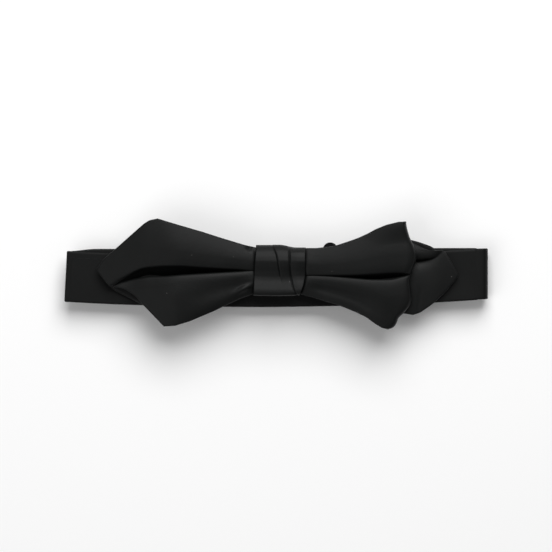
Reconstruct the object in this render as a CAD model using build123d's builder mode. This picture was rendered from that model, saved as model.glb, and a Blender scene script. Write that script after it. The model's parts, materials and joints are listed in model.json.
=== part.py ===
"""A gentleman's pre-tied bow tie with diamond points, stored flat on its back with its neckband folded behind.

Millimetres, +Z up. The front of the bow faces up, +X runs along the band to the wearer's left, and +Y is towards the
wearer's chin. The origin is under the middle of the folded tie, on the surface that it lies on.

From the surface upwards lie the long strap with its slider and hook, the short strap with the eye, the front run of
the neckband, the rear strip of the bow (a loop on the left, a point on the right), the front strip (a point on the
left, a loop on the right), and the knot wrapped round the waist of both strips.
"""

import os
from math import sqrt

from build123d import *

os.makedirs("parts", exist_ok=True)

# ---- driving dimensions -------------------------------------------------------------------------------------------
half_length = 83.1  # folded tie, middle to either end
band_width = 20.0
strap_thick = 0.9  # two plies of satin with interlining between
satin_wall = 0.2
ply_gap = 0.05  # between the interlining and the satin round it
edge_seam = 0.6  # how far the interlining stays inside a strap's or strip's edge

leaf_thick = 1.2  # one leaf of the bow
leaf_pitch = 1.4  # leaf to leaf inside the knot

wire_r = 0.42  # bars of the hook and the eye
bar_play = 0.05  # round each bar, inside its fabric turn
plate_thick = 0.8

thread = 0.25  # width of a laid stitch
thread_high = 0.15

# ---- levels above the surface -------------------------------------------------------------------------------------
long_z = 1.0  # underside of the long strap, just over the slider's outer bars
turn_r = wire_r + bar_play  # inner radius of a fabric turn round a bar
hook_z = long_z + strap_thick + turn_r
return_z = hook_z + turn_r  # underside of the doubled-back layer
slider_bar_z = return_z + strap_thick / 2
hem_z = 5.0  # underside of the hem that holds the eye, over the slider's top
eye_z = hem_z + strap_thick + turn_r
short_z = eye_z + turn_r
front_z = short_z + strap_thick + 0.15
knot_z = front_z + strap_thick + 0.2
knot_wall = 1.1

# ---- places along X -----------------------------------------------------------------------------------------------
left_fold_r = (front_z + strap_thick - short_z) / 2  # outer radius
left_fold_x = -half_length + left_fold_r
left_fold_z = short_z + left_fold_r
right_fold_r = (front_z + strap_thick - long_z) / 2
right_fold_x = half_length - right_fold_r
right_fold_z = long_z + right_fold_r
eye_x = -59.0
slider_x = 21.2
hook_x = -45.0
strap_y = 0.2  # middle of both rear straps

# The front run bows gently towards its lower edge: an arc of this radius, lowest at this place.
bow_radius = 1400.0
bow_x, bow_y = -8.0, -2.97


def band_y(x):
    """Middle of the front run at x."""
    return bow_y + bow_radius - sqrt(bow_radius**2 - (x - bow_x) ** 2)


def finish(part, label):
    part.label = label
    export_step(part, f"parts/{label}.step")


# ---- neckband: the front run, behind the bow ----------------------------------------------------------------------
def band_plate(inset, low, high, overrun):
    """Part of the front run between two levels, set in from its long edges and run past its ends."""
    half = band_width / 2 - inset
    start, end = left_fold_x - overrun, right_fold_x + overrun
    middle = (start + end) / 2
    with BuildPart() as plate:
        with BuildSketch(Plane.XY.offset(low)):
            with BuildLine():
                top = ThreePointArc(
                    (start, band_y(start) + half), (middle, band_y(middle) + half), (end, band_y(end) + half)
                )
                bottom = ThreePointArc(
                    (start, band_y(start) - half), (middle, band_y(middle) - half), (end, band_y(end) - half)
                )
                Line(top @ 0, bottom @ 0)
                Line(top @ 1, bottom @ 1)
            make_face()
        extrude(amount=high - low)
    return plate.part


with BuildPart() as neckband_satin:
    add(band_plate(0, front_z, front_z + strap_thick, 0))
    add(
        band_plate(edge_seam, front_z + satin_wall, front_z + strap_thick - satin_wall, 1),
        mode=Mode.SUBTRACT,
    )
finish(neckband_satin.part, "neckband_satin")

with BuildPart() as neckband_interlining:
    inner_low = front_z + satin_wall + ply_gap
    inner_high = front_z + strap_thick - satin_wall - ply_gap
    add(band_plate(edge_seam + ply_gap, inner_low, inner_high, 0))
finish(neckband_interlining.part, "neckband_interlining")

# A row of running stitches follows the upper edge on both sides of the bow's waist.
stitch_length, stitch_pitch = 1.9, 3.0
stitch_inset = 2.6
stitch_rows = ((-80.0, 22), (15.0, 15))
with BuildPart() as neckband_topstitch:
    with BuildSketch(Plane.XY.offset(front_z + strap_thick)):
        for row_start, count in stitch_rows:
            for step in range(count):
                x = row_start + step * stitch_pitch
                with Locations((x, band_y(x) + band_width / 2 - stitch_inset)):
                    SlotOverall(stitch_length, thread)
    extrude(amount=thread_high)
finish(neckband_topstitch.part, "neckband_topstitch")


# ---- rear straps --------------------------------------------------------------------------------------------------
def strap_run(x_from, x_to, low):
    """A straight strap as (satin tube, interlining)."""
    length, middle = x_to - x_from, (x_from + x_to) / 2
    centre = Plane.XY.offset(low + strap_thick / 2)
    core_thick = strap_thick - 2 * satin_wall
    core_width = band_width - 2 * edge_seam
    with BuildPart(centre) as satin:
        with Locations((middle, strap_y)):
            Box(length, band_width, strap_thick)
            Box(length + 1, core_width, core_thick, mode=Mode.SUBTRACT)
    with BuildPart(centre) as core:
        with Locations((middle, strap_y)):
            Box(length, core_width - 2 * ply_gap, core_thick - 2 * ply_gap)
    return satin.part, core.part


def fold(x, z, outer_r, side):
    """A half turn of strap round an axis along Y: side is 1 where the turn bulges to +X and -1 to -X."""
    with BuildPart() as turn:
        with BuildSketch(Plane.XZ):
            with Locations((x, z)):
                Circle(outer_r)
                Circle(outer_r - strap_thick, mode=Mode.SUBTRACT)
                with Locations((-side * outer_r, 0)):
                    Rectangle(2 * outer_r, 3 * outer_r, mode=Mode.SUBTRACT)
        extrude(amount=band_width / 2, both=True)
    return turn.part


long_strap, long_core = strap_run(hook_x, right_fold_x, long_z)
finish(long_strap, "long_strap_satin")
finish(long_core, "long_strap_interlining")

short_strap, short_core = strap_run(left_fold_x, eye_x, short_z)
finish(short_strap, "short_strap_satin")
finish(short_core, "short_strap_interlining")

with BuildPart() as left_fold:
    with Locations((0, (strap_y + band_y(left_fold_x)) / 2)):
        add(fold(left_fold_x, left_fold_z, left_fold_r, -1))
finish(left_fold.part, "left_fold")

with BuildPart() as right_fold:
    with Locations((0, (strap_y + band_y(right_fold_x)) / 2)):
        add(fold(right_fold_x, right_fold_z, right_fold_r, 1))
finish(right_fold.part, "right_fold")


# ---- fabric turns round the bars ----------------------------------------------------------------------------------
def strap_turn(x, z, side, lower_leg, upper_leg):
    """Satin turned round a bar at (x, z), with legs running back from it by those lengths."""
    outer = turn_r + strap_thick
    with BuildPart() as turn:
        add(fold(x, z, outer, side))
        with BuildSketch(Plane.XZ):
            if lower_leg:
                with Locations((x - side * lower_leg / 2, z - turn_r - strap_thick / 2)):
                    Rectangle(lower_leg, strap_thick)
            if upper_leg:
                with Locations((x - side * upper_leg / 2, z + turn_r + strap_thick / 2)):
                    Rectangle(upper_leg, strap_thick)
        if lower_leg or upper_leg:
            extrude(amount=band_width / 2, both=True)
    return Pos(0, strap_y, 0) * turn.part


hem_length = 9.0
with BuildPart() as eye_hem:
    add(strap_turn(eye_x, eye_z, 1, hem_length, 0))
finish(eye_hem.part, "eye_hem")

hook_turn_length = 3.0
with BuildPart() as hook_strap_turn:
    add(strap_turn(hook_x, hook_z, -1, 0, hook_turn_length))
finish(hook_strap_turn.part, "hook_strap_turn")

slider_leg = 9.0
with BuildPart() as slider_strap_end:
    add(strap_turn(slider_x, slider_bar_z, 1, slider_leg, slider_leg))
finish(slider_strap_end.part, "slider_strap_end")

# The doubled-back layer runs from the turn at the hook into the jaws of the end sewn round the slider's bar.
return_start = hook_x + hook_turn_length
return_end = slider_x - slider_leg + 3.0
return_thick = 2 * turn_r
with BuildPart(Plane.XY.offset(return_z)) as strap_return:
    with Locations(((return_start + return_end) / 2, strap_y)):
        Box(
            return_end - return_start,
            band_width,
            min(strap_thick, return_thick),
            align=(Align.CENTER, Align.CENTER, Align.MIN),
        )
finish(strap_return.part, "strap_return")


def bar_tack(x, low):
    """Two close rows of short stitches across a strap, lying on the level low."""
    with BuildPart() as tack:
        with BuildSketch(Plane.XY.offset(low)):
            with Locations((x, strap_y)):
                with GridLocations(1.6, 2.2, 2, 8):
                    SlotOverall(1.8, thread, rotation=90)
        extrude(amount=thread_high)
    return tack.part


finish(bar_tack(eye_x - hem_length + 1.6, hem_z - thread_high), "eye_bar_tack")
slider_top = slider_bar_z + turn_r + strap_thick
finish(bar_tack(slider_x - slider_leg + 1.6, slider_top), "slider_bar_tack")

# ---- slider -------------------------------------------------------------------------------------------------------
slider_length = 5.6
slider_width = 24.4
slider_corner = 2.7
rail_play = 0.3  # between a rail and the strap's edge
outer_bar = 1.2
outer_bar_thick = long_z - 0.1
rail_high = slider_bar_z + wire_r
window_width = band_width + 2 * rail_play
with BuildPart() as slider_frame:
    with BuildSketch():
        with Locations((slider_x, strap_y)):
            RectangleRounded(slider_length, slider_width, slider_corner)
    extrude(amount=rail_high)
    with BuildSketch(Plane.XY.offset(outer_bar_thick)):
        with Locations((slider_x, strap_y)):
            Rectangle(slider_length, window_width)
    extrude(amount=rail_high, mode=Mode.SUBTRACT)
    with BuildSketch():
        with Locations((slider_x, strap_y)):
            Rectangle(slider_length - 2 * outer_bar, window_width)
    extrude(amount=rail_high, mode=Mode.SUBTRACT)
    fillet(slider_frame.faces().sort_by(Axis.Z)[-1].edges().filter_by(Axis.X, reverse=True), 0.3)
    with BuildSketch(Plane.XZ.offset(-strap_y)):
        with Locations((slider_x, slider_bar_z)):
            Circle(wire_r)
    extrude(amount=window_width / 2 + 0.5, both=True)
finish(slider_frame.part, "slider_frame")

# ---- hook and eye -------------------------------------------------------------------------------------------------
arm_in = band_width / 2 + 0.4  # inside face of a side arm
arm_out = arm_in + 1.2
turn_outer = turn_r + strap_thick
plate_near = turn_outer + 0.45  # from the bar to the near edge of the plate


def bar_and_arms(x, z, side, reach):
    """The round bar inside the fabric turn and the two side arms that carry the plate."""
    with BuildPart() as carrier:
        with BuildSketch(Plane.XZ):
            with Locations((x, z)):
                Circle(wire_r)
        extrude(amount=arm_out, both=True)
        with BuildSketch(Plane.XY.offset(z - plate_thick / 2)):
            for edge in (-1, 1):
                with Locations((x + side * reach / 2, edge * (arm_in + arm_out) / 2)):
                    Rectangle(reach, arm_out - arm_in)
        extrude(amount=plate_thick)
    return Pos(0, strap_y, 0) * carrier.part


eye_plate = 4.3
eye_window = 2.4
tongue_width = 7.0
with BuildPart() as clasp_eye:
    add(bar_and_arms(eye_x, eye_z, 1, plate_near + 0.1))
    with BuildSketch(Plane.XY.offset(eye_z - plate_thick / 2)):
        with Locations((eye_x + plate_near + eye_plate / 2, strap_y)):
            RectangleRounded(eye_plate, 2 * arm_out, 0.8)
            RectangleRounded(eye_window, tongue_width + 1.4, 0.6, mode=Mode.SUBTRACT)
    extrude(amount=plate_thick)
finish(clasp_eye.part, "clasp_eye")

hook_plate = 2.6
tongue_length = 6.0
curl_r = 0.95  # middle line of the curl
curl_back = 3.2
with BuildPart() as clasp_hook:
    add(bar_and_arms(hook_x, hook_z, -1, plate_near + 0.1))
    with BuildSketch(Plane.XY.offset(hook_z - plate_thick / 2)):
        with Locations((hook_x - plate_near - hook_plate / 2, strap_y)):
            RectangleRounded(hook_plate, 2 * arm_out, 0.8)
    extrude(amount=plate_thick)
    tongue_start = hook_x - plate_near - hook_plate / 2
    tongue_end = tongue_start - tongue_length
    with BuildSketch(Plane.XZ.offset(-strap_y)):
        with BuildLine():
            top_leg = Line((tongue_start, hook_z), (tongue_end, hook_z))
            curl = CenterArc((tongue_end, hook_z - curl_r), curl_r, 90, 180)
            Line(curl @ 1, (tongue_end + curl_back, hook_z - 2 * curl_r))
        trace(line_width=plate_thick)
    extrude(amount=tongue_width / 2, both=True)
finish(clasp_hook.part, "clasp_hook")

# ---- bow strips ---------------------------------------------------------------------------------------------------
leaf_levels = [knot_z + knot_wall + 0.2 + leaf_thick / 2 + leaf_pitch * n for n in range(4)]
rear_low, rear_high, front_low, front_high = leaf_levels
waist_left, waist_right = -9.0, 12.0
waist_low, waist_top = -6.9, 9.8
shrink_x, shrink_y = 1.5, 2.0  # the point that an inner outline is drawn in towards

# Side views of the strips, from the pointed end through the waist and round the loop back into the waist.
front_path = [
    (-74, front_high - 2.7), (-40, front_high + 0.5), (-12, front_high), (14, front_high), (38, front_high + 1.1),
    (54, front_high + 0.3), (54, front_low - 1.5), (36, front_low - 1.2), (14, front_low), (-6, front_low),
]  # fmt: skip
front_bends = [20, 20, 20, 20, 1.5, 1.5, 20, 20]
rear_path = [
    (75, rear_low - 1.0), (40, rear_low - 0.5), (14, rear_low), (-12, rear_low), (-36, rear_low - 0.6),
    (-55, rear_low - 0.7), (-55, rear_low + 1.5), (-36, rear_high + 0.2), (-12, rear_high), (8, rear_high),
]  # fmt: skip
rear_bends = [20, 20, 20, 20, 1.0, 1.0, 20, 20]


def front_outline():
    """The front strip from above: a diamond point on the left and a flared loop on the right."""
    with BuildSketch() as outline:
        with BuildLine():
            Line((waist_left, waist_top), (-45.6, 21.7))
            ThreePointArc((-45.6, 21.7), (-49.4, 20.9), (-52.0, 18.9))
            Line((-52.0, 18.9), (-70.0, 2.0))
            Spline((-70.0, 2.0), (-64.8, -5.6), (-57.6, -8.6), (-52.0, -12.4))
            Line((-52.0, -12.4), (-44.0, -20.6))
            Spline((-44.0, -20.6), (-33.9, -18.6), (-21.0, -13.0), (waist_left, waist_low))
            Line((waist_left, waist_low), (waist_right, waist_low))
            Spline((waist_right, waist_low), (23.7, -12.0), (35.2, -17.0), (43.3, -21.7))
            Spline((43.3, -21.7), (47.3, -18.7), (51.7, -11.6), (52.4, -6.0))
            Line((52.4, -6.0), (54.6, 4.0))
            Spline((54.6, 4.0), (54.2, 10.0), (51.6, 15.5), (50.4, 20.6))
            Spline((50.4, 20.6), (40.0, 18.5), (28.0, 13.2), (waist_right, waist_top))
            Line((waist_right, waist_top), (waist_left, waist_top))
        make_face()
    return outline.sketch


def rear_outline():
    """The rear strip from above: a diamond point on the right and a smaller loop on the left."""
    with BuildSketch() as outline:
        with BuildLine():
            Polyline((waist_right, waist_top), (40.0, 14.2), (52.1, 13.4), (64.6, 9.2), (71.0, -0.5))
            Spline((71.0, -0.5), (61.5, -10.9), (54.8, -15.7), (50.0, -15.2))
            Polyline((50.0, -15.2), (waist_right, waist_low), (waist_left, waist_low), (-40.0, -14.0))
            Polyline((-40.0, -14.0), (-54.5, -10.6), (-55.6, 4.0), (-52.0, 13.0), (-38.0, 15.6))
            Polyline((-38.0, 15.6), (waist_left, waist_top), (waist_right, waist_top))
        make_face()
    return outline.sketch


def strip(path, bends, outline, shrink, thick, longer):
    """A strip of cloth of that thickness along its side view, cut to its outline drawn in towards the waist."""
    last = path[-1]
    points = [*path[:-1], (last[0] + longer, last[1])]
    with BuildPart() as side_view:
        with BuildSketch(Plane.XZ):
            with BuildLine():
                FilletPolyline(*points, radius=bends)
            trace(line_width=thick)
        extrude(amount=30, both=True)
    with BuildPart() as plan_view:
        with BuildSketch():
            add(Pos((1 - shrink) * shrink_x, (1 - shrink) * shrink_y) * scale(outline, by=shrink))
        extrude(amount=30)
    return side_view.part & plan_view.part


cavity_shrink, lining_shrink = 0.93, 0.925
cavity_thick = leaf_thick - 2 * satin_wall
for name, path, bends, outline, longer in (
    ("front_strip", front_path, front_bends, front_outline(), -1),
    ("rear_strip", rear_path, rear_bends, rear_outline(), 1),
):
    with BuildPart() as strip_satin:
        add(strip(path, bends, outline, 1, leaf_thick, 0))
        add(strip(path, bends, outline, cavity_shrink, cavity_thick, longer), mode=Mode.SUBTRACT)
    finish(strip_satin.part, f"{name}_satin")
    lining = strip(path, bends, outline, lining_shrink, cavity_thick - 2 * ply_gap, 0)
    finish(lining, f"{name}_interlining")

# ---- knot ---------------------------------------------------------------------------------------------------------
knot_left, knot_right = -8.3, 11.4
knot_low, knot_top = -8.8, 11.7
knot_high = front_high + leaf_thick / 2 + 0.2 + knot_wall
wrap_wall = 0.5


def knot_ring(inset, wall):
    """A band of cloth round the bow's waist, set in from the knot's outside."""
    width, height = knot_top - knot_low, knot_high - knot_z
    with BuildPart() as ring:
        with BuildSketch(Plane.YZ.offset(knot_left)):
            with Locations(((knot_top + knot_low) / 2, (knot_high + knot_z) / 2)):
                RectangleRounded(width - 2 * inset, height - 2 * inset, 2.4 - inset)
                RectangleRounded(
                    width - 2 * (inset + wall), height - 2 * (inset + wall), 2.4 - inset - wall, mode=Mode.SUBTRACT
                )
        extrude(amount=knot_right - knot_left)
    return ring.part


with BuildPart() as knot_wrap:
    add(knot_ring(0, wrap_wall))
finish(knot_wrap.part, "knot_wrap")
with BuildPart() as knot_interlining:
    add(knot_ring(wrap_wall + ply_gap, 0.45))
finish(knot_interlining.part, "knot_interlining")

# Hand stitches close the wrap along its back, and tack the waist of the bow to the front run of the band.
tack_gap = knot_z - front_z - strap_thick
with BuildPart() as knot_seam_stitches:
    with BuildSketch(Plane.XY.offset(knot_z - 0.02 - thread_high)):
        with Locations(((knot_left + knot_right) / 2, -1.0)):
            with GridLocations(2.4, 1, 8, 1):
                SlotOverall(1.5, thread, rotation=60)
    extrude(amount=thread_high)
finish(knot_seam_stitches.part, "knot_seam_stitches")

with BuildPart() as band_tacks:
    with BuildSketch(Plane.XY.offset(front_z + strap_thick)):
        with Locations(((knot_left + knot_right) / 2, 1.4)):
            with GridLocations(15.0, 7.0, 2, 2):
                Circle(0.5)
    extrude(amount=tack_gap)
finish(band_tacks.part, "band_tacks")

# Threads across the waist hold the pleats flat under the knot.
with BuildPart() as pleat_tacks:
    with BuildSketch(Plane.XY.offset(front_high + leaf_thick / 2)):
        with GridLocations(12.0, 3.0, 2, 5):
            SlotOverall(2.2, thread, rotation=90)
    extrude(amount=thread_high)
finish(Pos(1.5, 1.4, 0) * pleat_tacks.part, "pleat_tacks")
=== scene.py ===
"""Looks of the pre-tied bow tie: satin bow, knot and neckband in the frame of the CAD model.

Lengths are in millimetres in this script and are turned into metres where they reach Blender."""

import json

import bpy
import numpy as np
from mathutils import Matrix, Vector


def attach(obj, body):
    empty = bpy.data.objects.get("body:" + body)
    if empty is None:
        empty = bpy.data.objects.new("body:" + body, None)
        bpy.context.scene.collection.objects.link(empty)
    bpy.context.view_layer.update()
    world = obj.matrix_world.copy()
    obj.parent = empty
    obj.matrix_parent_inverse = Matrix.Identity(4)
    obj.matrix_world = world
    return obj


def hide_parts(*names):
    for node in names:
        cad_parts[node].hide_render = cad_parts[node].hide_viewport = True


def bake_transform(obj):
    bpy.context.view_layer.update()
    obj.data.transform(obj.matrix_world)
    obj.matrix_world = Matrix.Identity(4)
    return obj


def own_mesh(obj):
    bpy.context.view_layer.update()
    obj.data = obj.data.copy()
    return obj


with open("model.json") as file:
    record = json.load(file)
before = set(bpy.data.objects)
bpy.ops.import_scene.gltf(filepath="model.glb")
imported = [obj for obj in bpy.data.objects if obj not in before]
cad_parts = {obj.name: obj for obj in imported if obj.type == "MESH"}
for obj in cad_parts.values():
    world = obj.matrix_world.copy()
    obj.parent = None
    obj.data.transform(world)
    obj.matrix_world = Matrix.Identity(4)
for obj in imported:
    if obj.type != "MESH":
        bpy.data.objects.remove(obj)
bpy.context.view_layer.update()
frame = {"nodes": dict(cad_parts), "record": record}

MM = 0.001

# ---- levels and places of the CAD model ----------------------------------------------------------
LONG_Z, RETURN_Z, SHORT_Z, FRONT_Z = 1.0, 2.84, 6.84, 7.89  # undersides of the runs of the band
STRAP_T, BAND_W = 0.9, 20.0
LEFT_AXIS, RIGHT_AXIS = (-82.125, 7.815), (79.205, 4.895)  # (x, z) of the hinges at the two folds
LEFT_FOLD_R = 0.525  # middle of the cloth
RIGHT_FOLD_R = 3.895  # outside of the cloth
EYE_X, EYE_Z = -59.0, 6.37
HOOK_X, HOOK_Z = -45.0, 2.37
SLIDER_X, SLIDER_Z = 21.2, 3.29
TURN_R = 0.47  # inside of the cloth where it turns round a bar
STRAP_Y = 0.2  # middle of the long strap

# ---- thickness of each piece of the bow ------------------------------------------------------------
WING_T, REAR_T, BACKING_T, WRAP_T, STRIP_T = 0.9, 0.8, 0.7, 0.6, 0.45


# ---- small numeric tools -------------------------------------------------------------------------
def smooth(points):
    """A curve through (x, y) points: cubic Hermite with slopes limited so that it never overshoots."""
    px, py = np.array(sorted(points), float).T
    step = np.diff(px)
    slope = np.diff(py) / step
    m = np.empty_like(py)
    m[0], m[-1] = slope[0], slope[-1]
    same = slope[:-1] * slope[1:] > 0
    harmonic = 2 * slope[:-1] * slope[1:] / np.where(same, slope[:-1] + slope[1:], 1)
    m[1:-1] = np.where(same, harmonic, 0)

    def value(x):
        """The curve's height at x, held level beyond its ends."""
        x = np.clip(x, px[0], px[-1])
        i = np.clip(np.searchsorted(px, x) - 1, 0, len(px) - 2)
        h = step[i]
        t = (x - px[i]) / h
        return (
            py[i] * (1 + 2 * t) * (1 - t) ** 2
            + m[i] * h * t * (1 - t) ** 2
            + py[i + 1] * t * t * (3 - 2 * t)
            + m[i + 1] * h * t * t * (t - 1)
        )

    return value


def ease(x, low, high):
    """0 below low and 1 above high, turning smoothly between them."""
    t = np.clip((x - low) / (high - low), 0, 1)
    return t * t * (3 - 2 * t)


def even(points, n, rounding=0):
    """n points at equal steps along a polyline, its corners eased by that many passes of averaging."""
    p = np.array(points, float)
    s = np.r_[0, np.cumsum(np.linalg.norm(np.diff(p, axis=0), axis=1))]
    t = np.linspace(0, s[-1], n)
    q = np.stack([np.interp(t, s, p[:, k]) for k in range(p.shape[1])], axis=1)
    for _ in range(rounding):
        q[1:-1] = (q[:-2] + 2 * q[1:-1] + q[2:]) / 4
    return q


def inset(line, r, side=1):
    """A line in (x, y) moved by r to its left (side 1) or right (-1)."""
    along = np.gradient(line, axis=0)
    along /= np.linalg.norm(along, axis=1, keepdims=True)
    return line + side * r * np.stack([-along[:, 1], along[:, 0]], axis=1)


def patch(outer, bottom, top, nu, nv, r, way):
    """A grid over an outline, set in by r; way is 1 for a wing to +X and -1 to -X."""
    low, high = even(bottom, nu, 2), even(top, nu, 2)
    end = even(outer, nv, 3)
    low, high, end = inset(low, r, way), inset(high, r, -way), inset(end, r, way)
    low[-1] = end[0] = (low[-1] + end[0]) / 2
    high[-1] = end[-1] = (high[-1] + end[-1]) / 2
    start = even([low[0], high[0]], nv)
    return coons(start, end, low, high, nu, nv)


NARROWEST_PLEAT = 0.004  # share of the wing's height, where the pleat has closed


def conform(plan, low_lip, high_lip, counts):
    """The plan with its second way shared out between the part below a pleat, the pleat and the part above.

    Also gives each point's place across the pleat, 0 at the lower lip and 1 at the upper."""
    nu, nv, _ = plan.shape
    below, inside, above = counts
    v = np.linspace(0, 1, nv)
    rows, across = [], []
    for column in plan:
        x, y = column.T
        v_low = np.interp(0, y - low_lip(x), v)
        v_high = max(np.interp(0, y - high_lip(x), v), v_low + NARROWEST_PLEAT)
        t = np.r_[
            np.linspace(0, v_low, below, endpoint=False),
            np.linspace(v_low, v_high, inside, endpoint=False),
            np.linspace(v_high, 1, above),
        ]
        rows.append(np.stack([np.interp(t, v, x), np.interp(t, v, y)], axis=1))
        across.append((t - v_low) / (v_high - v_low))
    return np.array(rows), np.array(across)


def coons(inner, outer, bottom, top, nu, nv):
    """A grid over the patch between four boundary lines: inner and outer run from bottom to top."""
    u = np.linspace(0, 1, nu)[:, None, None]
    v = np.linspace(0, 1, nv)[None, :, None]
    a, b = inner[None], outer[None]
    c, d = bottom[:, None], top[:, None]
    return (
        (1 - u) * a + u * b + (1 - v) * c + v * d
        - (1 - u) * (1 - v) * inner[0] - u * (1 - v) * outer[0]
        - (1 - u) * v * inner[-1] - u * v * outer[-1]
    )  # fmt: skip


def normals(grid, wrap=False):
    """Unit normals of a grid of points."""
    du = np.gradient(grid, axis=0)
    if wrap:
        dv = (np.roll(grid, -1, axis=1) - np.roll(grid, 1, axis=1)) / 2
    else:
        dv = np.gradient(grid, axis=1)
    n = np.cross(du, dv)
    return n / np.maximum(np.linalg.norm(n, axis=2, keepdims=True), 1e-9)


# ---- materials -----------------------------------------------------------------------------------
def nodes_of(name, rough, metal=0.0):
    """An empty material with a Principled shader, and a function that adds nodes to it."""
    material = bpy.data.materials.new(name)
    material.use_nodes = True
    tree = material.node_tree
    shader = tree.nodes["Principled BSDF"]
    shader.inputs["Roughness"].default_value = rough
    shader.inputs["Metallic"].default_value = metal

    def node(kind, links=(), **values):
        """A new node with those inputs or settings, linked to (socket, source) pairs."""
        made = tree.nodes.new(kind)
        for key, value in values.items():
            if key in made.inputs:
                made.inputs[key].default_value = value
            else:
                setattr(made, key, value)
        for socket, source in links:
            tree.links.new(source, made.inputs[socket])
        return made

    return material, tree, shader, node


def set_range(node, low, high, start="To"):
    """Set the limits of a Map Range node, by default those of its result."""
    node.inputs[f"{start} Min"].default_value, node.inputs[f"{start} Max"].default_value = low, high


def weave_normal(node, where, warp, pitch, pucker):
    """Ribs both ways and a twill line, then uneven yarn, then slow puckers in the cloth."""
    weft = node("ShaderNodeTexWave", [("Vector", where)], bands_direction="Y", Scale=0.157 / pitch)
    twill = node("ShaderNodeTexWave", [("Vector", where)], bands_direction="DIAGONAL", Scale=0.2 / pitch)
    ribs = node("ShaderNodeMath", [(0, warp.outputs["Fac"]), (1, weft.outputs["Fac"])], operation="ADD")
    weave = node("ShaderNodeMath", [(0, ribs.outputs[0]), (1, twill.outputs["Fac"])], operation="ADD")
    slow = node("ShaderNodeTexNoise", [("Vector", where)], Scale=140.0, Detail=3.0, Roughness=0.55)
    slub = node("ShaderNodeTexNoise", [("Vector", where)], Scale=1300.0, Detail=2.0)
    normal = None
    heights = (weave.outputs[0], slub.outputs["Fac"], slow.outputs["Fac"])
    for height, strength, depth in zip(heights, (0.25, 0.35, pucker), (0.02, 0.05, 0.35)):
        links = [("Height", height)] if normal is None else [("Height", height), ("Normal", normal)]
        normal = node("ShaderNodeBump", links, Strength=strength, Distance=depth * MM).outputs["Normal"]
    return normal


LINT_CELLS = 62.0  # to a metre; each may hold a fleck
LINT_SIZE = 0.010  # radius, as a share of a cell
LINT_ABOVE = 0.7  # a cell holds one where its random number is higher than this
LINT_COLOUR = (0.08, 0.078, 0.075, 1)


def with_lint(node, where, dyed):
    """The dyed colour with a pale fleck of lint here and there."""
    fleck = node("ShaderNodeTexVoronoi", [("Vector", where)], voronoi_dimensions="2D", Scale=LINT_CELLS)
    small = node("ShaderNodeMath", [(0, fleck.outputs["Distance"])], operation="LESS_THAN")
    small.inputs[1].default_value = LINT_SIZE
    picked = node("ShaderNodeSeparateColor", [(0, fleck.outputs["Color"])])
    rare = node("ShaderNodeMath", [(0, picked.outputs[0])], operation="GREATER_THAN")
    rare.inputs[1].default_value = LINT_ABOVE
    lint = node("ShaderNodeMath", [(0, small.outputs[0]), (1, rare.outputs[0])], operation="MULTIPLY")
    mixed = node("ShaderNodeMix", [(0, lint.outputs[0]), (6, dyed)], data_type="RGBA")
    mixed.inputs[7].default_value = LINT_COLOUR
    return mixed.outputs[2]


def cloth_material(name, colour, rough, pitch, sheen, specular, pucker, on_cad=False):
    """Woven cloth with uneven colour and sheen, laid out by the UV map, which is in metres.

    A CAD node has no UV map, so there its own coordinates are used."""
    material, tree, shader, node = nodes_of(name, rough)
    where = node("ShaderNodeTexCoord").outputs["Object" if on_cad else "UV"]
    warp = node("ShaderNodeTexWave", [("Vector", where)], bands_direction="X", Scale=0.314 / pitch)
    tree.links.new(weave_normal(node, where, warp, pitch, pucker), shader.inputs["Normal"])

    blotches = node("ShaderNodeTexNoise", [("Vector", where)], Scale=55.0, Detail=4.0)
    tone = node("ShaderNodeMapRange", [("Value", blotches.outputs["Fac"])])
    set_range(tone, 0.3, 0.7, "From")
    set_range(tone, 0.82, 1.18)
    thread = node("ShaderNodeMapRange", [("Value", warp.outputs["Fac"])])
    set_range(thread, 0.9, 1.1)
    both = node("ShaderNodeMath", [(0, tone.outputs[0]), (1, thread.outputs[0])], operation="MULTIPLY")
    dyed = node("ShaderNodeVectorMath", [("Scale", both.outputs[0])], operation="SCALE")
    dyed.inputs[0].default_value = colour
    tree.links.new(with_lint(node, where, dyed.outputs[0]), shader.inputs["Base Color"])

    uneven = node("ShaderNodeMapRange", [("Value", blotches.outputs["Fac"])])
    set_range(uneven, rough - 0.05, rough + 0.07)
    tree.links.new(uneven.outputs[0], shader.inputs["Roughness"])
    shader.inputs["Specular IOR Level"].default_value = specular
    shader.inputs["Sheen Weight"].default_value = sheen
    shader.inputs["Sheen Roughness"].default_value = 0.4
    return material


SATIN = cloth_material("satin_bow", (0.0034, 0.0038, 0.0037), 0.47, 0.16 * MM, 0.0, 0.155, 0.2)
BAND = cloth_material("satin_band", (0.0036, 0.0039, 0.0038), 0.5, 0.16 * MM, 0.0, 0.125, 0.1)
LINING = cloth_material("interlining", (0.5, 0.47, 0.41), 0.85, 0.5 * MM, 0.2, 0.2, 0.3, on_cad=True)
THREAD = cloth_material("thread", (0.0075, 0.008, 0.008), 0.5, 0.12 * MM, 0.0, 0.15, 0.1, on_cad=True)


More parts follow.
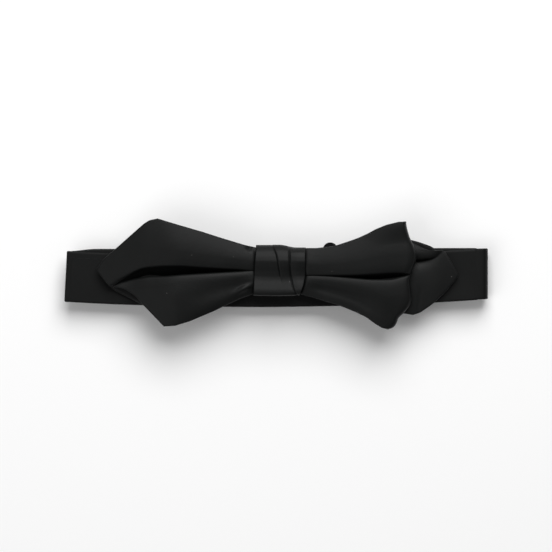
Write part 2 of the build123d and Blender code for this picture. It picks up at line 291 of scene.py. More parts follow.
def lacquer():
    """Black lacquer on stamped metal, thinner and duller where it has rubbed."""
    material, tree, shader, node = nodes_of("lacquer", 0.32)
    where = node("ShaderNodeTexCoord").outputs["Object"]
    fine = node("ShaderNodeTexNoise", [("Vector", where)], Scale=900.0, Detail=3.0)
    orange = node("ShaderNodeBump", [("Height", fine.outputs["Fac"])], Strength=0.2, Distance=0.02 * MM)
    tree.links.new(orange.outputs["Normal"], shader.inputs["Normal"])
    worn = node("ShaderNodeTexNoise", [("Vector", where)], Scale=260.0, Detail=5.0)
    ramp = node("ShaderNodeValToRGB", [("Fac", worn.outputs["Fac"])])
    ramp.color_ramp.elements[0].position, ramp.color_ramp.elements[1].position = 0.45, 0.75
    ramp.color_ramp.elements[0].color = (0.004, 0.004, 0.0045, 1)
    ramp.color_ramp.elements[1].color = (0.008, 0.0076, 0.0072, 1)
    tree.links.new(ramp.outputs["Color"], shader.inputs["Base Color"])
    dull = node("ShaderNodeMapRange", [("Value", worn.outputs["Fac"])])
    set_range(dull, 0.24, 0.42)
    tree.links.new(dull.outputs[0], shader.inputs["Roughness"])
    shader.inputs["Specular IOR Level"].default_value = 0.12
    return material


LACQUER = lacquer()


# ---- cloth meshes --------------------------------------------------------------------------------
def mesh_object(name, vertices, faces, uvs, material):
    """A smooth mesh from points in millimetres, with a UV map in metres given per vertex."""
    mesh = bpy.data.meshes.new(name)
    mesh.from_pydata([tuple(p) for p in np.asarray(vertices) * MM], [], faces)
    mesh.polygons.foreach_set("use_smooth", [True] * len(mesh.polygons))
    layer = mesh.uv_layers.new(name="UVMap")
    corner = np.empty(len(mesh.loops), np.int32)
    mesh.loops.foreach_get("vertex_index", corner)
    layer.data.foreach_set("uv", (np.asarray(uvs, np.float32)[corner] * MM).ravel())
    mesh.materials.append(material)
    mesh.validate()
    obj = bpy.data.objects.new(name, mesh)
    bpy.context.scene.collection.objects.link(obj)
    return obj


def shell(name, grid, thick, material, wrap=False):
    """Cloth of that thickness with rounded edges along a grid of middle points; wrap joins its second way."""
    nu, nv, _ = grid.shape
    n = normals(grid, wrap)
    half = np.broadcast_to(np.asarray(thick, float) / 2, (nu, nv))[..., None]
    lengths_u = np.r_[0, np.cumsum(np.linalg.norm(np.diff(grid[:, nv // 2], axis=0), axis=1))]
    steps_v = np.linalg.norm(np.diff(grid, axis=1), axis=2).mean(axis=0)
    lengths_v = np.r_[0, np.cumsum(steps_v)]
    uv = np.stack(np.meshgrid(lengths_u, lengths_v, indexing="ij"), axis=2)

    points = [(grid + n * half).reshape(-1, 3), (grid - n * half).reshape(-1, 3)]
    uvs = [uv.reshape(-1, 2), uv.reshape(-1, 2) + (0, 200)]  # the back is laid out beside the face
    count = nu * nv
    faces = []
    last = nv if wrap else nv - 1
    for i in range(nu - 1):
        for j in range(last):
            k = (j + 1) % nv
            a, b, c, d = i * nv + j, (i + 1) * nv + j, (i + 1) * nv + k, i * nv + k
            faces.append((a, b, c, d))
            faces.append((count + a, count + d, count + c, count + b))

    def rim(ring, outward):
        """A half-round edge round a closed run of (i, j), three rows wide."""
        rows = []
        m = len(ring)
        middle = np.array([grid[i, j] for i, j in ring])
        up = np.array([n[i, j] for i, j in ring])
        r = np.array([half[i, j, 0] for i, j in ring])[:, None]
        base = np.array([uv[i, j] for i, j in ring])
        for angle in (45, 0, -45):
            a = np.radians(angle)
            start = sum(len(p) for p in points)
            points.append(middle + r * (np.cos(a) * outward + np.sin(a) * up))
            uvs.append(base)
            rows.append([start + q for q in range(m)])
        top = [i * nv + j for i, j in ring]
        rows = [top, *rows, [count + t for t in top]]
        for first, second in zip(rows[:-1], rows[1:]):
            for q in range(m):
                p = (q + 1) % m
                faces.append((first[q], second[q], second[p], first[p]))

    def out(vectors):
        """Unit vectors."""
        return vectors / np.maximum(np.linalg.norm(vectors, axis=1, keepdims=True), 1e-9)

    if wrap:
        rim([(0, j) for j in range(nv)], out(grid[0] - grid[1]))
        rim([(nu - 1, j) for j in reversed(range(nv))], out(grid[-1] - grid[-2])[::-1])
    else:
        ring = (
            [(i, 0) for i in range(nu)] + [(nu - 1, j) for j in range(1, nv)]
            + [(i, nv - 1) for i in reversed(range(nu - 1))] + [(0, j) for j in reversed(range(1, nv - 1))]
        )  # fmt: skip
        line = np.array([grid[i, j] for i, j in ring])
        along = np.roll(line, -1, axis=0) - np.roll(line, 1, axis=0)
        up = np.array([n[i, j] for i, j in ring])
        rim(ring, out(np.cross(along, up)))
    return mesh_object(name, np.concatenate(points), faces, np.concatenate(uvs), material)


# ---- shape of the bow ----------------------------------------------------------------------------
LIP_RADIUS, LIP_DROP = 1.5, 0.55
PLEAT_BOTTOM = 0.09  # place across the pleat where it is deepest
UNDERCUT = 0.44  # how far the walls lie back, in proportion to the pleat's width


def lipped(distance):
    """How far cloth has rounded down at that distance outside the lip of a pleat."""
    return LIP_DROP * np.exp(-np.maximum(distance, 0) / LIP_RADIUS)


def pleat(across, depth):
    """Drop of the cloth inside a pleat, 0 at both lips: it is deepest close behind the lower lip."""
    near = np.clip(across / PLEAT_BOTTOM, 0, 1)
    far = np.clip((1 - across) / (1 - PLEAT_BOTTOM), 0, 1)
    return depth * np.where(across < PLEAT_BOTTOM, near**0.7, far**0.8)


def undercut(across, width):
    """How far the walls of a pleat lie back under its lips, in y."""
    q = np.clip(2 * across - 1, -1, 1)
    return UNDERCUT * width * q * np.sqrt(1 - np.abs(q))


def rotated(x, y, centre, degrees):
    """Coordinates along and beside a line through the centre at that angle to +X."""
    c, s = np.cos(np.radians(degrees)), np.sin(np.radians(degrees))
    dx, dy = x - centre[0], y - centre[1]
    return dx * c + dy * s, dy * c - dx * s


def near_knot(x, edge, side, deep, reach=0.8):
    """Dip of the wings where they pass under the knot; side is 1 to the right and -1 to the left."""
    return deep * (1 - ease(side * (x - edge), -0.3, reach))


# The left wing at each x: the lips of its pleat and its edges in y, and depth and crests in z.
left_high_lip = smooth([
    (-4, 1.5), (-8.4, 1.55), (-14.2, 2.0), (-20.1, 2.3), (-26, 2.6), (-31.9, 2.95), (-37.7, 3.3),
    (-43.6, 3.25), (-49.5, 2.8), (-52.4, 2.3), (-55.4, 1.1), (-58.3, -0.5), (-61.3, -2.2), (-64, -4.0),
    (-72, -6),
])  # fmt: skip
left_low_lip = smooth([
    (-4, 1.05), (-8.4, 1.05), (-14.2, 0.65), (-20.1, 0.35), (-26, 0.0), (-31.9, -0.35), (-37.7, -0.75),
    (-43.6, -1.2), (-49.5, -1.35), (-52.4, -1.7), (-55.4, -2.2), (-58.3, -2.9), (-61.3, -3.7), (-64, -4.7),
    (-72, -6.4),
])  # fmt: skip
left_depth = smooth([
    (-4, 2.2), (-8, 3.0), (-20, 5.0), (-34, 6.9), (-48, 6.6), (-54, 4.6), (-58, 2.8), (-62, 1.3), (-66, 0.3),
    (-72, 0),
])  # fmt: skip
left_high_crest = smooth([
    (-4, 16.1), (-8, 16.4), (-13, 16.9), (-22, 17.7), (-38, 18.2), (-50, 16.9), (-60, 14.8), (-72, 12.4),
])  # fmt: skip
left_low_crest = smooth([
    (-4, 16.0), (-8, 16.2), (-13, 16.6), (-22, 17.2), (-38, 17.5), (-50, 15.4), (-58, 13.6), (-72, 12.0),
])  # fmt: skip
left_top = smooth([
    (-4, 10), (-8, 10.4), (-12, 11.3), (-21, 14), (-28.8, 16.5), (-38.4, 19.2), (-45, 21.4), (-72, 24),
])  # fmt: skip
left_bottom = smooth([
    (-4, -7), (-8.7, -7.9), (-13.9, -9.6), (-25.1, -14.9), (-33.9, -18.6), (-39.5, -20.4), (-44, -20.8),
    (-72, -24),
])  # fmt: skip


def left_front_z(x, y, across):
    """Height of the front point on the left: two lobes either side of a pleat that closes before the edge."""
    high, low = left_high_lip(x), left_low_lip(x)
    up = (y - high) / (left_top(x) - high)
    down = (low - y) / (low - left_bottom(x))
    z_up = left_high_crest(x) - lipped(y - high) - 2.6 * np.maximum(up - 0.35, 0) ** 1.7
    z_down = left_low_crest(x) - lipped(low - y) - 3.2 * np.maximum(down - 0.3, 0) ** 1.7
    fan = np.sin(np.clip(down, 0, 1) * 8.5 + 0.9) * 0.3 * ease(-x, 7, 16) * (1 - ease(-x, 24, 42))
    along, beside = rotated(x, y, (-13.0, -5.9), 28)
    pucker = 0.9 * np.exp(-((along / 3.2) ** 2) - (beside / 0.95) ** 2)
    notch = 0.9 * np.exp(-(((x + 10.3) / 1.3) ** 2) - ((y - 10.2) / 1.2) ** 2)
    mix = np.clip(across, 0, 1)
    z = (z_down + fan + pucker) * (1 - mix) + (z_up - notch) * mix
    return z - pleat(across, left_depth(x)) - near_knot(x, -8.75, -1, 0.35, 0.45)


def build_left_front():
    """The front point, which covers the left side of the bow."""
    bottom = [(-5, -7.0), (-8.7, -7.8), (-13.9, -9.6), (-19.5, -12.2), (-25.1, -14.9), (-33.9, -18.6),
              (-39.5, -20.3), (-44.0, -20.6)]  # fmt: skip
    top = [(-5, 9.9), (-8, 10.4), (-12, 11.3), (-21, 14), (-28.8, 16.5), (-38.4, 19.3), (-46.4, 21.7)]
    outer = [(-44.0, -20.6), (-51.6, -12.7), (-55.2, -8.6), (-58.8, -6.2), (-62, -5.4), (-64.9, -5.2),
             (-66.9, -3.2), (-70.6, 1.8), (-67.8, 5.7), (-62.9, 9.9), (-55.0, 16.9), (-51.8, 19.7),
             (-49.6, 21.1), (-46.4, 21.7)]  # fmt: skip
    plan = patch(outer, bottom, top, 121, 151, WING_T / 2, -1)
    plan, across = conform(plan, left_low_lip, left_high_lip, (60, 26, 60))
    x, y = plan[..., 0], plan[..., 1]
    z = left_front_z(x, y, across)
    y = y + undercut(across, left_high_lip(x) - left_low_lip(x))
    return shell("front_point", np.dstack([x, y, z])[:, ::-1], WING_T, SATIN)


front_point = build_left_front()
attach(front_point, "bow")

# The right wing in the same way.
right_high_lip = smooth([
    (8, -0.3), (11.4, -0.3), (28.6, -0.25), (38.6, 0.15), (44.3, 0.55), (48.6, 0.75), (51.4, 0.6), (56, 0.4),
])  # fmt: skip
right_low_lip = smooth([
    (8, -0.7), (11.4, -0.7), (20, -1.1), (28.6, -1.8), (38.6, -2.5), (44.3, -2.4), (48.6, -1.5), (51.1, -0.8),
    (52.6, -0.1), (56, 0.2),
])  # fmt: skip
right_depth = smooth([(8, 2.4), (12, 3.2), (24, 4.6), (36, 5.6), (46, 5.6), (50, 4.6), (52.4, 2.6), (56, 1)])
right_high_crest = smooth([(8, 16.6), (11, 16.8), (16, 17.1), (26, 17.8), (40, 18.4), (50, 18.0), (56, 17.0)])
right_low_crest = smooth([(8, 16.2), (11, 16.4), (16, 16.7), (26, 17.3), (38, 17.8), (48, 17.2), (56, 16.2)])
right_top = smooth([
    (8, 10.2), (11.3, 10.3), (18.7, 11), (25, 12.2), (29.1, 13.6), (33.8, 15.2), (37.9, 17.5), (41.2, 18.9),
    (44.6, 19.8), (50, 20.6), (56, 20.8),
])  # fmt: skip
right_bottom = smooth([
    (8, -7.9), (14.3, -9.3), (23.7, -12), (31.8, -15.3), (38.6, -19.4), (43.3, -21.7), (56, -22),
])  # fmt: skip

# Edges of the knot's free end, which tapers to a point at its lower end: x at each y.
strip_left = smooth([
    (-9.0, 8.8), (-8.3, 8.6), (-7.5, 7.95), (-6.6, 7.35), (-5.2, 6.8), (-2.5, 6.2), (-0.2, 5.9), (3.5, 5.6),
    (8.3, 5.4), (11.8, 5.2),
])  # fmt: skip
strip_right = smooth([
    (-9.0, 8.85), (-8.3, 9.0), (-7.4, 9.4), (-6.2, 9.95), (-4.4, 10.6), (-2.2, 11.05), (-0.4, 11.3),
    (5.6, 11.35), (11.8, 11.4),
])  # fmt: skip


def right_front_z(x, y, across):
    """Height of the front loop's face: two lobes either side of a pleat that reaches its fold."""
    high, low = right_high_lip(x), right_low_lip(x)
    up = (y - high) / (right_top(x) - high)
    down = (low - y) / (low - right_bottom(x))
    z_up = right_high_crest(x) - lipped(y - high) - 2.6 * np.maximum(up - 0.35, 0) ** 1.6
    z_up = z_up + 1.5 * ease(x, 34, 50) * ease(up, 0.55, 1.0)
    z_down = right_low_crest(x) - lipped(low - y) - 3.0 * np.maximum(down - 0.3, 0) ** 1.6
    trough = 0.95 * np.exp(-(((down - 0.50 - 0.004 * (x - 12)) / 0.24) ** 2))
    trough = trough * ease(x, 9, 20) * (1 - ease(x, 34, 50))
    mix = np.clip(across, 0, 1)
    z = (z_down - trough) * (1 - mix) + z_up * mix
    beside = strip_right(y) + 0.1
    return z - pleat(across, right_depth(x)) - near_knot(x, beside, 1, 0.25 + 1.1 * ease(-y, -3, 3))


SHOULDER, PASSES = 8, 10  # rows each side of a loop's turn that are eased, and how many times


def loop(name, face, back, radius, thick, material):
    """A folded loop: a face and a back over one plan, joined by a turn at the outer edge."""
    plan = face[..., :2]
    ahead = plan[-1] - plan[-4]
    ahead = ahead / np.linalg.norm(ahead, axis=1, keepdims=True)
    reach = np.clip(((plan[-1][None] - plan) * ahead[None]).sum(axis=2), 0, None)
    radius = np.broadcast_to(radius, reach.shape[1:])[None]
    pull = np.clip(1 - reach / (2.5 * radius), 0, 1) ** 2 * radius
    shift = ahead[None] * pull[..., None]
    face, back = face.copy(), back.copy()
    face[..., :2] -= shift
    back[..., :2] -= shift
    turn = []
    for angle in np.radians(np.linspace(10, 170, 17)):
        centre = (face[-1] + back[-1]) / 2
        row = centre + (face[-1] - back[-1]) / 2 * np.cos(angle)
        row[:, :2] += ahead * radius[0][:, None] * np.sin(angle)
        turn.append(row)
    path = np.concatenate([face, np.array(turn), back[::-1]])
    near, far = len(face) + 1 - SHOULDER, len(face) + SHOULDER
    for _ in range(PASSES):
        path[near:far] = (path[near - 1 : far - 1] + 2 * path[near:far] + path[near + 1 : far + 1]) / 4
    return shell(name, path, thick, material)


def build_right_front():
    """The front loop, which covers the right side of the bow and rolls over at its outer edge."""
    bottom = [(8.5, -7.7), (14.3, -9.2), (19.6, -10.8), (23.7, -12.0), (27.8, -13.6), (31.8, -15.3),
              (35.2, -17.0), (38.6, -19.5), (41.2, -21.1), (43.6, -21.7)]  # fmt: skip
    top = [(8.5, 10.1), (11.5, 10.1), (17.2, 9.9), (21, 10.6), (24.7, 11.6), (28.6, 12.9), (32.2, 14.2),
           (35.7, 15.8), (39, 17.6), (42.9, 19.2), (48.2, 20.5), (50.7, 20.4)]  # fmt: skip
    outer = [(43.6, -21.7), (45.6, -21.2), (46.9, -19.8), (47.8, -17.2), (50.1, -15.1), (52.2, -12.7),
             (53.0, -10.2), (52.6, -5.5), (52.3, -2.6), (53.3, 1.4), (54.9, 5.6), (54.8, 8.2), (53.8, 11.2),
             (52.2, 14.2), (51.2, 17.6), (50.7, 20.4)]  # fmt: skip
    plan = patch(outer, bottom, top, 111, 141, WING_T / 2, 1)
    plan, across = conform(plan, right_low_lip, right_high_lip, (60, 22, 60))
    x, y = plan[..., 0], plan[..., 1]
    face_y = y + undercut(across, right_high_lip(x) - right_low_lip(x)) * (1 - ease(x, 44, 50))
    face = np.dstack([x, face_y, right_front_z(x, y, across)])[:, ::-1]
    back = np.dstack([x, y, 12.3 + 0.9 * ease(x, 20, 45) + 0.02 * np.abs(y)])[:, ::-1]
    roll = 0.8 + 0.7 * np.sin(np.pi * np.linspace(0, 1, face.shape[1]))
    return loop("front_loop", face, back, roll, WING_T, SATIN)


front_loop = build_right_front()
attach(front_loop, "bow")


REAR_FACE_Z, REAR_BACK_Z, REAR_ROLL = 10.7, 9.7, 0.7


def build_left_rear():
    """The rear loop, of which only the rim shows under the front point."""
    bottom = [(-5, -6.6), (-12, -7.8), (-24, -11.6), (-40.0, -15.6)]
    top = [(-5, 9.4), (-14, 10.4), (-26, 13.2), (-42.0, 16.5)]
    outer = [(-40.0, -15.6), (-46, -14.6), (-52.2, -12.3), (-57.4, -9.5), (-62.2, -7.2), (-64.8, -5.7),
             (-66.0, -3.5), (-66.0, 1.0), (-60, 8.5), (-52, 15.0), (-42.0, 16.5)]  # fmt: skip
    plan = patch(outer, bottom, top, 61, 91, REAR_T / 2, -1)
    x, y = plan[..., 0], plan[..., 1]
    face = np.dstack([x, y, REAR_FACE_Z - 0.002 * y * y])
    back = np.dstack([x, y, np.full_like(x, REAR_BACK_Z)])
    return loop("rear_loop", face, back, REAR_ROLL, REAR_T, SATIN)


rear_loop = build_left_rear()
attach(rear_loop, "bow")

# The rear point's crease runs from under the front loop to the point's upper corner.
crease_y = smooth([
    (30, 3.4), (50, 5.3), (55.6, 5.7), (59.7, 6.1), (62.1, 6.7), (64.1, 8.3), (65.6, 9.6), (72, 14),
])  # fmt: skip


def rear_right_z(x, y):
    """Height of the rear point: an upper lobe that curls over the crease, and a lower lobe in its shade."""
    crease = crease_y(x)
    over = y - crease
    deep = 2.6 * (1 - ease(x, 56, 64.5)) + 0.25
    z = 12.2 - 0.6 * ease(x, 60, 72)
    z_high = z + 0.6 - 0.9 * np.exp(-np.maximum(over, 0) / 0.7) - 0.055 * np.maximum(over - 2.0, 0) ** 2
    z_low = z - deep * np.exp(-np.maximum(-over, 0) / 1.7) - 0.004 * np.maximum(-over - 6, 0) ** 2
    fold = 0.14 * np.exp(-(((x - 56.3 - 0.1 * (y + 7)) / 0.8) ** 2)) * ease(-y, 3, 8)
    return np.where(over > 0, z_high, z_low) - fold


def build_right_rear():
    """The rear point, which shows beyond the front loop."""
    bottom = [(8.5, -6.6), (20, -9.0), (36, -13.6), (50.6, -15.6), (53.6, -16.1)]
    top = [(8.5, 9.4), (20, 9.6), (36, 12.4), (48, 12.8), (53.9, 12.0)]
    outer = [(53.6, -16.1), (56.4, -15.2), (60.9, -12.1), (65.6, -7.9), (70.0, -2.8), (71.6, -0.5),
             (67.9, 6.0), (65.3, 9.6), (63.2, 9.3), (60.3, 9.1), (57.4, 10.2), (53.9, 12.0)]  # fmt: skip
    plan = patch(outer, bottom, top, 91, 131, REAR_T / 2, 1)
    x, y = plan[..., 0], plan[..., 1]
    return shell("rear_point", np.dstack([x, y, rear_right_z(x, y)])[:, ::-1], REAR_T, SATIN)


rear_point = build_right_rear()
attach(rear_point, "bow")


def build_right_backing():
    """The rear point's lining layer, which shows as a dark edge above the lit one."""
    bottom = [(8.5, -6.0), (30, -10.0), (52.0, -13.0)]
    top = [(8.5, 9.2), (30, 12.0), (50.0, 13.9)]
    outer = [(52.0, -13.0), (62, -7), (66, -1), (64, 6), (62.1, 10.2), (59.1, 11.5), (54.5, 13.0),
             (50.0, 13.9)]  # fmt: skip
    plan = patch(outer, bottom, top, 41, 61, BACKING_T / 2, 1)
    x, y = plan[..., 0], plan[..., 1]
    z = 9.75 + 0.35 * ease(y, 6, 13)
    return shell("rear_point_backing", np.dstack([x, y, z])[:, ::-1], BACKING_T, SATIN)


backing = build_right_backing()
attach(backing, "bow")

# ---- knot ----------------------------------------------------------------------------------------
KNOT_MIDDLE = (1.4, 13.2)  # (y, z) that the wrap swells away from
# The wrap at each y on its front: its edges and its diagonal crease, in x.
wrap_left = smooth([(-9.2, -8.9), (-5, -8.7), (2, -8.45), (11.8, -7.6)])
wrap_right = smooth([
    (-9.2, 7.9), (-8.2, 8.5), (-6.2, 9.6), (-4.2, 10.4), (-2.2, 10.9), (2, 11.2), (11.8, 11.4),
])  # fmt: skip
wrap_crease = smooth([(-9, 3.3), (-3.5, 2.1), (1.9, 1.1), (7.3, 0.0), (11.8, -2.0)])


def knot_section(n):
    """The knot's outline in (y, z), from its lower side over the top and back along the underside."""
    over = [(-8.0, 12.6), (-8.1, 13.8), (-8.15, 15.4), (-8.15, 16.8), (-8.0, 17.3), (-7.5, 17.55),
            (-6.2, 17.5), (-4.4, 17.1), (-2.4, 16.6), (-0.8, 16.4), (1.0, 16.65), (3.0, 17.3), (4.8, 17.7),
            (6.8, 17.4), (8.6, 16.75), (10.1, 15.7), (10.9, 14.3), (11.1, 12.8), (10.9, 11.0), (9.8, 9.9),
            (7.0, 9.5), (1.4, 9.45), (-4.3, 9.5), (-7.0, 10.0), (-7.9, 11.2), (-8.0, 12.6)]  # fmt: skip
    return even(over, n + 1, 2)[:-1]


def build_knot():
    """The wrap: a closed band with a diagonal crease down its front and a hollow beside the free end."""
    section = knot_section(150)
    y, z = section.T
    away = section - KNOT_MIDDLE
    away /= np.linalg.norm(away, axis=1, keepdims=True)
    front = ease(z, 12.5, 15.5)
    left, right, crease_x = wrap_left(y), wrap_right(y), wrap_crease(y)
    rows = []
    for t in np.linspace(0, 1, 121):
        x = left + (right - left) * t
        bulge = 0.35 * np.sin(np.pi * t)
        step = 0.42 * ease(x - crease_x, -0.2, 0.1) * ease(y, -5.5, 3.5) * (1 - ease(x, 3, 9))
        groove = 0.4 * np.exp(-(((x - crease_x) / 0.22) ** 2)) * ease(y, -5.0, 2.0)
        hollow = (0.45 + 0.4 * ease(-y, 2, 7)) * np.exp(-(((x - strip_left(y) + 0.3) / 0.4) ** 2))
        lift = front * (step - groove - hollow + bulge)
        sunk = 0.99 * ease(x, 1.0, 8.0) * ease(y, 8.5, 11.0)
        rows.append(np.stack([x, y + away[:, 0] * lift * 0.6 - sunk, z + away[:, 1] * lift], axis=1))
    return shell("knot_wrap_cloth", np.array(rows), WRAP_T, SATIN, wrap=True)


knot = build_knot()
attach(knot, "bow")


STRIP_EDGE = 0.22  # about half the strip's thickness, for its rounded edges


def build_knot_strip():
    """The free end of the wrap, brought down the front and tucked in at a point under the lower edge."""
    down = [(10.1, 15.2), (9.6, 16.4), (8.4, 17.4), (6.8, 18.05), (4.8, 18.35), (3.0, 17.95), (1.0, 17.35),
            (-0.8, 17.1), (-2.4, 17.3), (-4.4, 17.8), (-6.4, 18.2), (-7.6, 18.0), (-8.3, 16.8)]  # fmt: skip
    y, z = even(down, 90, 4).T
    middle = (strip_left(y) + strip_right(y)) / 2
    half = np.maximum((strip_right(y) - strip_left(y)) / 2 - STRIP_EDGE, 0.04)
    rows = []
    for t in np.linspace(0, 1, 21):
        crown = 0.16 * np.sin(np.pi * t) * ease(y, -8, -3) - 0.5 * ease(y, 8.0, 10.5)
        rows.append(np.stack([middle - half + 2 * half * t, y, z + crown], axis=1))
    return shell("knot_strip", np.array(rows)[:, ::-1], STRIP_T, SATIN)


knot_strip = build_knot_strip()
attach(knot_strip, "bow")

# ---- neckband ------------------------------------------------------------------------------------
# The front run is slightly bowed: the radius of its middle line and that line's lowest point.
BOW_RADIUS, BOW_X, BOW_Y = 1400.0, -8.0, -2.97
LAP = 0.6  # how far the straps end short of the hinge lines; the folds run on over their ends


def band_y(x):
    """Middle of the front run of the band at x."""
    return BOW_Y + BOW_RADIUS - np.sqrt(BOW_RADIUS**2 - (x - BOW_X) ** 2)


def slant(x, y):
    """How far the fold at the left is further in at its upper corner than at its lower one."""
    return 0.5 * (1 + np.clip(y / 10, -1, 1)) * ease(-x, 74, 81.5)


def ribbon(name, path, centre_y, material, thick=STRAP_T, sway=None):
    """A flat strap along a path of (x, z) points, with rounded edges; sway moves its points in y."""
    path = np.asarray(path, float)
    v = np.linspace(-1, 1, 41)
    v = np.sign(v) * np.abs(v) ** 0.85
    x, z = path[:, :1], path[:, 1:]
    y = centre_y(x) + v[None] * (BAND_W - thick) / 2
    if sway is not None:
        y = y + sway(x, v[None])
    return shell(name, np.dstack([x + slant(x, y), y, z + 0 * v[None]]), thick, material)


def run(x0, x1, z, step=1.0):
    """Points of a straight run at one level."""
    n = max(int(abs(x1 - x0) / step), 2)
    return [(x, z) for x in np.linspace(x0, x1, n)]


def arc(x, z, r, start, stop, n=15):
    """Points of a turn about (x, z), from one angle to another in degrees."""
    return [(x + r * np.cos(a), z + r * np.sin(a)) for a in np.radians(np.linspace(start, stop, n))]


def pressed_turn(x, z, r, side, n=31):
    """Points of a half turn about (x, z) that is pressed flat above and below and bends late and tightly."""
    angles = np.radians(np.linspace(90, -90, n))
    c, s = np.cos(angles), np.sin(angles)
    return [(x + side * r * abs(p) ** 0.6, z + r * np.sign(q) * abs(q) ** 0.6) for p, q in zip(c, s)]


def front_sway(x, v):
    """A slight waviness of the front run."""
    return 0.05 * np.sin(x * 0.11 + v)


front_path = run(LEFT_AXIS[0] + LAP, RIGHT_AXIS[0] - LAP, FRONT_Z + STRAP_T / 2)
band_front = ribbon("neckband_front", front_path, band_y, BAND, sway=front_sway)
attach(band_front, "bow")


SHORT_STRAP_Y = STRAP_Y - 0.35


def left_back_y(x):
    """Middle of the short strap: it leaves the fold in line with the front run and drifts up."""
    start = band_y(LEFT_AXIS[0])
    return start + (SHORT_STRAP_Y - start) * ease(x, -82.5, -70)


def right_back_y(x):
    """Middle of the long strap, which leaves the fold a little above the front run."""
    return np.full_like(x, STRAP_Y)


def right_fold_y(x):
    """Middle of the fold at the right, between the front run and the long strap."""
    return STRAP_Y * 0.5 + band_y(x) * 0.5


def fold_path(axis, r, side):
    """A turn about the axis, open to the middle of the tie, with a short straight lap at either end."""
    x, z = axis
    lap = x - side * 2 * LAP
    return [(lap, z + r), *pressed_turn(x, z, r, side), (lap, z - r)]


def fold_cloth(name, axis, r, side, centre_y):
    """The cloth of a fold at one end of the band, between the bow and the body that opens out, built in one
    fixed shape.
    """
    cloth = ribbon(name, fold_path(axis, r, side), centre_y, BAND, thick=1.02 * STRAP_T)
    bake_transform(cloth)
    return cloth


left_fold = fold_cloth("left_fold_cloth", LEFT_AXIS, LEFT_FOLD_R, -1, band_y)

turn_mid = TURN_R + STRAP_T / 2
short_path = (
    run(LEFT_AXIS[0] + LAP, EYE_X, SHORT_Z + STRAP_T / 2)
    + arc(EYE_X, EYE_Z, turn_mid, 80, -90)
    + run(EYE_X - 1, EYE_X - 9, EYE_Z - turn_mid)
)
short_strap = ribbon("short_strap_cloth", short_path, left_back_y, BAND)
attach(short_strap, "left_return")

right_mid = RIGHT_FOLD_R - STRAP_T / 2
right_fold = fold_cloth("right_fold_cloth", RIGHT_AXIS, right_mid, 1, right_fold_y)

split_x = SLIDER_X - 8  # the long strap's fixed cloth ends here, and the cloth that reaches the hook begins
long_mid = LONG_Z + STRAP_T / 2
long_strap = ribbon("long_strap_cloth", run(RIGHT_AXIS[0] - LAP, split_x, long_mid), right_back_y, BAND)
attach(long_strap, "right_return")

hook_path = (
    run(split_x, HOOK_X, long_mid)
    + arc(HOOK_X, HOOK_Z, turn_mid, 260, 90)
    + run(HOOK_X + 0.5, HOOK_X + 3, HOOK_Z + turn_mid)
)
hook_strap = ribbon("hook_strap_cloth", hook_path, right_back_y, BAND)
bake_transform(hook_strap)

return_path = run(HOOK_X + 3, SLIDER_X - 6, RETURN_Z + STRAP_T / 2)
strap_return = ribbon("strap_return_cloth", return_path, right_back_y, BAND)
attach(strap_return, "hook_carriage")
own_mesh(strap_return)

sewn_path = (
    run(SLIDER_X - 9, SLIDER_X, SLIDER_Z - turn_mid)
    + arc(SLIDER_X, SLIDER_Z, turn_mid, -80, 80, 13)
    + run(SLIDER_X, SLIDER_X - 9, SLIDER_Z + turn_mid)
)
sewn_end = ribbon("slider_end_cloth", sewn_path, right_back_y, BAND)
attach(sewn_end, "slider")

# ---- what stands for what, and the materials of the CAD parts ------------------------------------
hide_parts("front_strip_satin", "front_strip_interlining")
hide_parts("rear_strip_satin", "rear_strip_interlining", "pleat_tacks")
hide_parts("knot_wrap", "knot_interlining")
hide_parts("neckband_satin", "neckband_interlining")
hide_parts("left_fold")
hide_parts("right_fold")
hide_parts("short_strap_satin", "short_strap_interlining", "eye_hem")
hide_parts("long_strap_satin", "long_strap_interlining")
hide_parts("hook_strap_turn")
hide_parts("strap_return")
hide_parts("slider_strap_end")


def declare(area=None):
    """The area of a piece in mm2, turned into m2; nothing is kept or passed on, so no piece is declared."""
    area = None if area is None else area * MM**2


# The areas of the bow's pieces are estimates taken from the shapes built above, which narrow to the waist.
declare(area=2250)
declare(area=2950)
declare(area=2750)
declare(area=1550)
declare(area=1200)
declare()
declare()
declare()
declare()
declare()
declare()
declare()
declare()

BY_SLOT = {"satin": SATIN, "satin_band": BAND, "interlining": LINING, "thread": THREAD, "hardware": LACQUER}
slot_of = {part["node"]: part["material_slot"] for part in frame["record"]["subparts"]}
for node, obj in frame["nodes"].items():
    material = BY_SLOT[slot_of[node]]
    if not obj.material_slots:
        obj.data.materials.append(material)
    for place in obj.material_slots:
        place.material = material

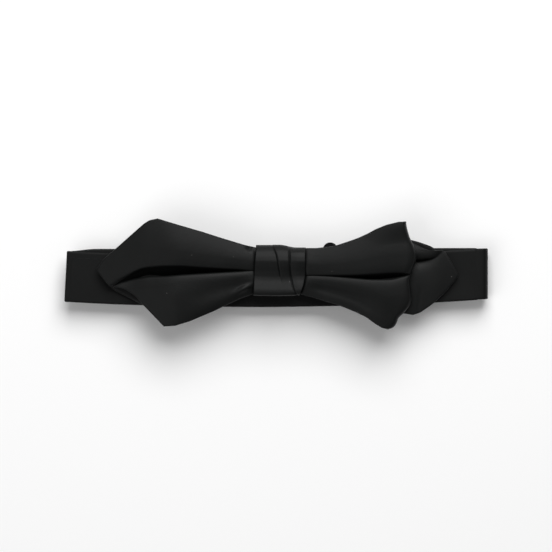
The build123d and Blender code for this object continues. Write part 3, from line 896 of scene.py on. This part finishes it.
# ---- floor, light and camera ---------------------------------------------------------------------
FLOOR = 3.0  # half its side, in metres
floor_mesh = bpy.data.meshes.new("floor")
corners = [(-FLOOR, -FLOOR, 0), (FLOOR, -FLOOR, 0), (FLOOR, FLOOR, 0), (-FLOOR, FLOOR, 0)]
floor_mesh.from_pydata(corners, [], [(0, 1, 2, 3)])
floor = bpy.data.objects.new("floor", floor_mesh)
bpy.context.scene.collection.objects.link(floor)
floor_material, floor_tree, floor_shader, _ = nodes_of("floor", 0.9)
floor_shader.inputs["Base Color"].default_value = (0.93, 0.93, 0.93, 1)
floor_shader.inputs["Specular IOR Level"].default_value = 0.0
floor_mesh.materials.append(floor_material)

world = bpy.data.worlds.new("studio")
bpy.context.scene.world = world
world.use_nodes = True
world.node_tree.nodes["Background"].inputs["Color"].default_value = (1, 1, 1, 1)
world.node_tree.nodes["Background"].inputs["Strength"].default_value = 0.18


def softbox(name, place, size, power):
    """A square light of that size in metres and power in watts, facing the object."""
    data = bpy.data.lights.new(name, "AREA")
    data.energy, data.size = power, size
    lamp = bpy.data.objects.new(name, data)
    bpy.context.scene.collection.objects.link(lamp)
    lamp.location = place
    lamp.rotation_euler = (-Vector(place)).to_track_quat("-Z", "Y").to_euler()
    return lamp


softbox("key", (0.15, 0.8, 0.95), 1.0, 18.0)
softbox("fill", (-0.6, -0.45, 0.9), 0.9, 3.6)

# The camera looks straight down from far off; the picture is VIEW_WIDTH across at the level of the wings.
CAMERA_HEIGHT, OBJECT_LEVEL, VIEW_WIDTH = 2.5, 0.010, 0.2164
camera_data = bpy.data.cameras.new("camera")
camera = bpy.data.objects.new("camera", camera_data)
bpy.context.scene.collection.objects.link(camera)
camera.location = (-0.0001, -0.0008, CAMERA_HEIGHT)
camera.rotation_euler = (0, 0, 0)
camera_data.sensor_width = 36.0
camera_data.lens = camera_data.sensor_width * (CAMERA_HEIGHT - OBJECT_LEVEL) / VIEW_WIDTH
bpy.context.scene.camera = camera
bpy.context.scene.view_settings.view_transform = "Standard"
